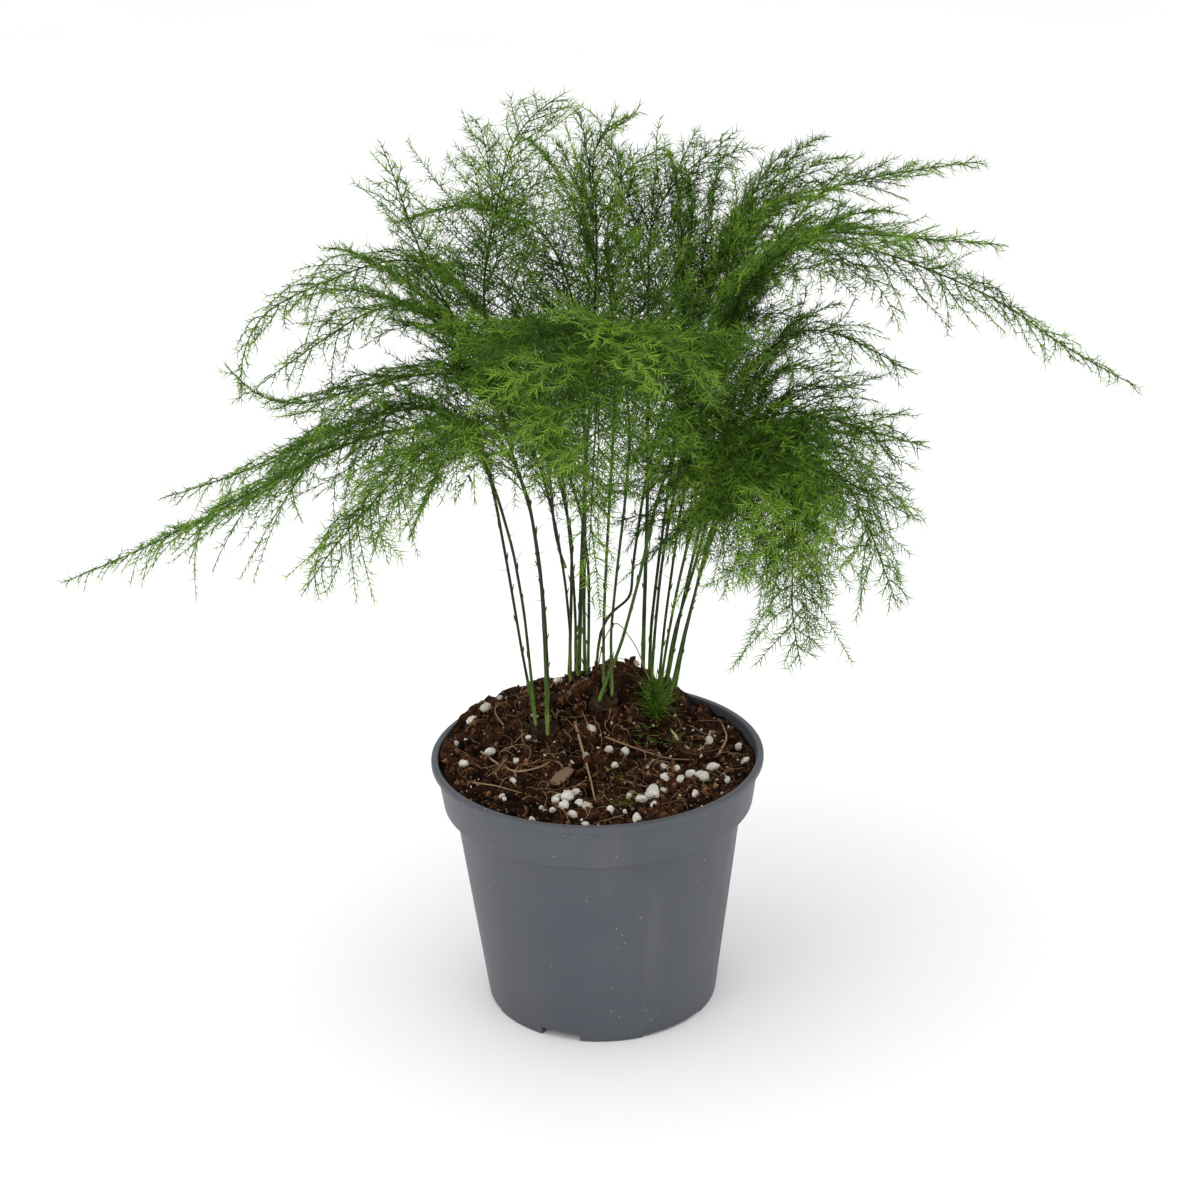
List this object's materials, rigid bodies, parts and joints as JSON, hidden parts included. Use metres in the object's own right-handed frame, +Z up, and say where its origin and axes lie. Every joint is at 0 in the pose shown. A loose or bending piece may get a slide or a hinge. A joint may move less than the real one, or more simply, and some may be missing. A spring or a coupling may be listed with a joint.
{
  "type": "potted asparagus fern",
  "caption": "Feathery asparagus fern with wiry arching shoots, growing in a round tapered plastic nursery pot of potting mix.",
  "frame": {"origin": "centre of the footprint, on the surface the pot stands on", "axes": "+Z up along the pot's axis, -Y towards the front, +X to the right seen from the front"},
  "size_m": [0.372, 0.2303, 0.327],
  "materials": {
    "pot_plastic": "dark grey injection-moulded polypropylene, satin, with fine pale specks",
    "potting_mix": "dark brown peat and bark crumbs with fibres and fine white grains",
    "root_crown": "matt brown-green crown tissue with dry scales",
    "stem": "wiry stem, pale green at the foot and dark brown-green above, satin",
    "foliage": "fine needle foliage, bright to deep green, soft satin",
    "perlite": "off-white expanded perlite, matt and pitted",
    "bark": "weathered pale wood splinter, matt",
    "root_fibre": "dry straw-coloured root, matt"
  },
  "bodies": {
    "root": {"crown_front_left": "root_crown", "crown_back_left": "root_crown", "crown_centre": "root_crown", "crown_right": "root_crown", "stem_01": "stem", "stem_02": "stem", "stem_03": "stem", "stem_03_fork": "stem", "stem_04": "stem", "stem_05": "stem", "stem_06": "stem", "stem_07": "stem", "stem_08": "stem", "stem_09": "stem", "stem_10": "stem", "stem_11": "stem", "stem_12": "stem", "stem_13": "stem", "stem_14": "stem", "stem_15": "stem", "stem_16": "stem", "stem_17": "stem", "stem_18": "stem", "stem_19": "stem", "stem_20": "stem", "stem_21": "stem", "stem_22": "stem", "stem_23": "stem", "frond_01": "foliage", "frond_02": "foliage", "frond_03": "foliage", "frond_03_fork": "foliage", "frond_04": "foliage", "frond_05": "foliage", "frond_06": "foliage", "frond_07": "foliage", "frond_08": "foliage", "frond_09": "foliage", "frond_10": "foliage", "frond_11": "foliage", "frond_12": "foliage", "frond_13": "foliage", "frond_14": "foliage", "frond_15": "foliage", "frond_16": "foliage", "frond_17": "foliage", "frond_18": "foliage", "frond_19": "foliage", "frond_20": "foliage", "frond_21": "foliage", "frond_22": "foliage", "frond_23": "foliage", "nursery_pot": "pot_plastic", "potting_mix": "potting_mix", "new_shoot": "foliage", "perlite_left": "perlite", "perlite_right": "perlite", "perlite_front": "perlite", "bark_chip": "bark", "surface_root": "root_fibre"}
  },
  "joints": []
}
